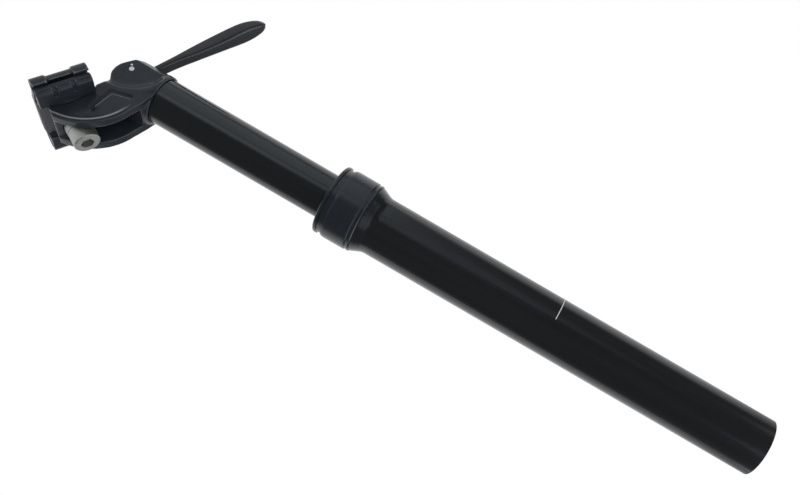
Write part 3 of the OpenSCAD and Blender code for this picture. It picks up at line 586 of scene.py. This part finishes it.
GROOVE = HOLLOW_CORNER + np.array([
    FRONT_END[0] * FRONT_ARM + FRONT_END[1] * FRONT_OUT, GROOVE_TURN,
    REAR_BEND[0] * REAR_ARM + REAR_BEND[1] * REAR_OUT, REAR_END[0] * REAR_ARM + REAR_END[1] * REAR_OUT])
GROOVE_EDGE = HOLLOW_CORNER + np.array([FRONT_END[0] * FRONT_ARM, [0.0, 0.0], EDGE_LONG * REAR_ARM])
print("groove from", GROOVE[0].round(1).tolist(), "to", GROOVE[-1].round(1).tolist())


def gap_to(line, flat):
    """The distance from flat points to a bent line: the least over its straight pieces, each measured to the
    nearest point of the piece, which lies at the dot product with the piece over its squared length."""
    start, step = line[:-1], np.diff(line, axis=0)
    way = np.clip(((flat[:, None] - start) * step).sum(axis=-1) / (step**2).sum(axis=-1), 0, 1)
    return np.linalg.norm(flat[:, None] - start - way[..., None] * step, axis=-1).min(axis=1)


# %% Press the groove
# The hollow is less deep than this, and so much of its depth is kept inside both edges and clear of the bead
HOLLOW_DEPTH, HOLLOW_KEPT = 3.2, 0.1
EDGE_CLEAR, BEAD_CLEAR = 0.4, 1.6
# The groove's depth, its half width at the bottom and at the top, and what counts as the cheek's face
GROOVE_DEPTH, GROOVE_HALF = 1.0, (0.35, 1.15)
FACE_DEPTH = 0.7


def cheek_groove(points):
    """The points with the hollow in each cheek nearly filled and a groove pressed in along its two upper
    edges. Inside both edges and the rim, a point keeps a tenth of its depth under the cheek's face. Then
    every point near that face sinks by a smooth step of its distance from the groove's middle line."""
    depth = CHEEK - np.abs(points[:, 1])
    flat = points[:, [0, 2]]
    inside = np.maximum((flat - HOLLOW_CORNER) @ FRONT_OUT, (flat - HOLLOW_CORNER) @ REAR_OUT) < EDGE_CLEAR
    inside &= np.linalg.norm(flat - RIM_CENTRE, axis=1) < BEAD_RADIUS - BEAD_CLEAR
    depth = np.where(inside & (depth > 0) & (depth < HOLLOW_DEPTH), HOLLOW_KEPT * depth, depth)
    pressed = GROOVE_DEPTH * (1 - ramp(gap_to(GROOVE, flat), *GROOVE_HALF))
    depth = depth + np.where(np.abs(depth) < FACE_DEPTH, pressed, 0)
    return np.stack([points[:, 0], np.sign(points[:, 1]) * (CHEEK - depth), points[:, 2]], axis=-1)


# %% [markdown]
# ## Two painted highlights on the head
#
# Two lines on this head catch more light than its other edges: the groove's inner edge and the rear end of
# the bead on the rim. They are painted highlights, a lighter colour added by distance on the cheek's face.
# The helper's own painted highlight follows every edge alike, and more of it would brighten the whole head.

# %% Paint two highlight lines
# How strong each painted highlight line is, and its half width where it is full and where it ends
GROOVE_HIGHLIGHT, GROOVE_HIGHLIGHT_HALF = 0.6, (0.15, 0.5)
BEAD_HIGHLIGHT, BEAD_HIGHLIGHT_HALF = 1.7, (0.2, 0.6)
# Distances inside the cheek's face, and behind the post's axis, over which the lines set in
NEAR_FACE, BEAD_REAR = (-0.5, -0.2), (16, 26)


def highlight_lines(points):
    """The painted highlight on the head's edges: a little along the groove's inner edge, and strongly along the
    rear end of the rim's bead, fading out forwards."""
    flat = points[:, [0, 2]]
    groove = GROOVE_HIGHLIGHT * (1 - ramp(gap_to(GROOVE_EDGE, flat), *GROOVE_HIGHLIGHT_HALF))
    off_bead = np.abs(np.linalg.norm(flat - RIM_CENTRE, axis=1) - BEAD_RADIUS)
    bead = BEAD_HIGHLIGHT * (1 - ramp(off_bead, *BEAD_HIGHLIGHT_HALF)) * ramp(-points[:, 0], *BEAD_REAR)
    return ramp(np.abs(points[:, 1]) - CHEEK, *NEAR_FACE) * np.maximum(groove, bead)


# %% Forge the head
# The side of the skin's squares, and the rounds of easing all over and at the crease
HEAD_CELL, HEAD_ROUNDS, CREASE_ROUNDS = 0.4, 4, 90

forged_skin("head", "stanchion", forged_black, HEAD_CELL, HEAD_ROUNDS, clear_of_socket,
            [(CREASE_ROUNDS, under_housing)], cheek_groove, highlight_lines)

# %% [markdown]
# ## The clamp halves and the lever
#
# The two clamp halves are small forgings with crisp ears, and their edges get a stronger painted highlight
# than the head's. The lever is a slim forging with the same soft edges. All three could take the head's own
# settings, but the ears and the lever's tip are only a few of its cells thick. A smaller cell keeps them
# true, and because each round works over one cell, it keeps their edges tighter too.

# %% Forge the clamp halves and the lever
# Sides of the skin's squares, and rounds of easing
CLAMP_CELL, LEVER_CELL = 0.35, 0.3
SOFT_ROUNDS = 5

# The clamp halves get a stronger painted highlight on their edges than the head
forged_skin("lower_clamp", "clamp", forged_black, CLAMP_CELL, SOFT_ROUNDS, edge_highlight=0.6)
forged_skin("upper_clamp", "clamp", forged_black, CLAMP_CELL, SOFT_ROUNDS, edge_highlight=0.7)
forged_skin("lever", "lever", lever_black, LEVER_CELL, SOFT_ROUNDS)

# %% [markdown]
# ## The flare under the collar
#
# On the real post the lower tube swells to the collar in one long soft cone, rolled over a mandrel. The CAD
# tube has a short steep cone and a plain rim there, within half a millimetre of it. A whole new tube could be
# turned from a profile, but it would have to repeat the bore and its three key channels. So a copy of the CAD
# tube is cut into rings over the flare, and only its outer face is drawn onto the soft line.

# %% The soft line of the flare
MOUNTS = {mount["name"]: mount for mount in frame["record"]["mounts"]}
TUBE_RADIUS = MOUNTS["seat_tube_insert"]["dims"]["r_mm"]
FLARE_FOOT = MOUNTS["seat_tube_insert"]["dims"]["length_mm"]
SEAM = round(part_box("collar_nut")[0].z / MM, 3)
# Radius gained per height on the cone, and half the height of the bend at its foot
FLARE_SLOPE, FLARE_BEND = 0.45, 1.5
# The round starts so far below the seam, and falls by this times the square of the height above its start
SEAM_ROUND, SEAM_DROP = 0.5, 1.2
print("flare from", FLARE_FOOT, "to", SEAM, "on a radius of", TUBE_RADIUS)


def flare_line(height):
    """The outer radius at each height. It is the tube's radius up to one bend below the foot, then a
    parabola, then from one bend above the foot a straight cone, less a small round at the seam."""
    rise = height - FLARE_FOOT
    bent = np.clip(rise + FLARE_BEND, 0, 2 * FLARE_BEND) ** 2 / (4 * FLARE_BEND)
    cone = FLARE_SLOPE * (bent + np.clip(rise - FLARE_BEND, 0, None))
    return TUBE_RADIUS + cone - SEAM_DROP * np.clip(height - SEAM + SEAM_ROUND, 0, 1) ** 2


# %% A copy of the tube, cut into rings
# Heights from ring to ring on the bend and on the cone
BEND_STEP, CONE_STEP = 0.25, 0.3
# Margins at the foot, clear of the bend, and at any line that must be reached
PAST_BEND, PAST_LINE = 2, 0.1
# A cut goes through a point that it passes closer than this
SNAP = 0.01

bend_levels = np.arange(FLARE_FOOT - FLARE_BEND, FLARE_FOOT + FLARE_BEND + PAST_LINE, BEND_STEP)
cone_levels = np.arange(FLARE_FOOT + PAST_BEND, SEAM - PAST_LINE, CONE_STEP)
ringed = bmesh.new()
ringed.from_mesh(NODES["outer_tube"].data)
bmesh.ops.remove_doubles(ringed, verts=ringed.verts, dist=WELD_GAP * MM)
for level in [*bend_levels, *cone_levels]:
    bmesh.ops.bisect_plane(ringed, geom=[*ringed.verts, *ringed.edges, *ringed.faces], dist=SNAP * MM,
                           plane_co=(0, 0, level * MM), plane_no=(0, 0, 1))
flare_mesh = bpy.data.meshes.new("outer_tube_flared")
ringed.to_mesh(flare_mesh)
ringed.free()
print("the copy has", len(flare_mesh.vertices), "points")

# %% Draw the outer face onto the line
# Edges that turn by more stay sharp
SHARP = math.radians(28)

tube_points = read_points(flare_mesh)
off_axis = np.hypot(tube_points[:, 0], tube_points[:, 1])
on_flare = (tube_points[:, 2] > FLARE_FOOT - PAST_BEND) & (tube_points[:, 2] < SEAM + PAST_LINE)
on_flare &= off_axis > TUBE_RADIUS - PAST_LINE
scale = np.where(on_flare, flare_line(tube_points[:, 2]) / off_axis, 1)
tube_points[:, :2] *= scale[:, None]
flare_mesh.vertices.foreach_set("co", (tube_points * MM).ravel())
if "custom_normal" in flare_mesh.attributes:
    flare_mesh.attributes.remove(flare_mesh.attributes["custom_normal"])
flare_mesh.polygons.foreach_set("use_smooth", np.ones(len(flare_mesh.polygons), bool))
flare_mesh.set_sharp_from_angle(angle=SHARP)
flare_mesh.update()
flare_mesh.materials.clear()
flare_mesh.materials.append(tube_black)
print("flare points:", int(on_flare.sum()), "widest", flare_line(tube_points[on_flare, 2]).max().round(2))

# %% It stands for the outer tube
flared_tube = bpy.data.objects.new("outer_tube_flared", flare_mesh)
scene.collection.objects.link(flared_tube)
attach(flared_tube, "outer")
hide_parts("outer_tube")
print(flared_tube.name, "has", len(flare_mesh.polygons), "faces")

# %% [markdown]
# ## The insertion mark
#
# A thin white line is printed round the lower tube, at the height that must stay hidden in the frame. It goes
# a little more than half way round, over the front. It could be a stripe in the tube's material, but then it
# couldn't be left off. So it is a narrow band, a few hundredths of a millimetre proud of the tube and closed
# at its ends and back, so that it is a real skin from any side.


# %% A painted band round the tube
def painted_band(name, radius, low, high, centre_deg, half_deg, lift, steps=160):
    """A closed thin band on a cylinder. Round the loop of four corners, the radius is inside, outside,
    outside, inside and the height low, low, high, high. Outside is the lift above the cylinder and inside is
    half the lift below it. Along the band the angle runs evenly from the centre less the half width to the
    centre plus it. A point is (radius cos angle, radius sin angle, height)."""
    angle = np.radians(np.linspace(centre_deg - half_deg, centre_deg + half_deg, steps))[:, None]
    radii = np.array([radius - lift / 2, radius + lift, radius + lift, radius - lift / 2])
    heights = np.broadcast_to([low, low, high, high], (steps, 4))
    points = np.stack([radii * np.cos(angle), radii * np.sin(angle), heights], axis=-1).reshape(-1, 3)
    corner = np.arange(steps * 4).reshape(steps, 4)
    ahead, round_on = corner[1:], np.roll(corner, -1, axis=1)
    sides = np.stack([corner[:-1], ahead, round_on[1:], round_on[:-1]], axis=-1).reshape(-1, 4)
    ends = [corner[0].tolist(), corner[-1][::-1].tolist()]
    mesh = bpy.data.meshes.new(name)
    mesh.from_pydata((points * MM).tolist(), [], sides.tolist() + ends)
    mesh.update()
    piece = bpy.data.objects.new(name, mesh)
    scene.collection.objects.link(piece)
    return piece


# %% Paint the mark
MARK_HEIGHT, MARK_WIDTH = 125.0, 0.44
# Degrees to each side of the front, and the paint's thickness
MARK_HALF_DEG, PAINT = 101, 0.03

mark = painted_band("insertion_mark", TUBE_RADIUS, MARK_HEIGHT - MARK_WIDTH / 2, MARK_HEIGHT + MARK_WIDTH / 2,
                    centre_deg=0, half_deg=MARK_HALF_DEG, lift=PAINT)
mark.data.materials.append(mark_white)
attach(mark, "outer")
print("mark:", len(mark.data.polygons), "faces")
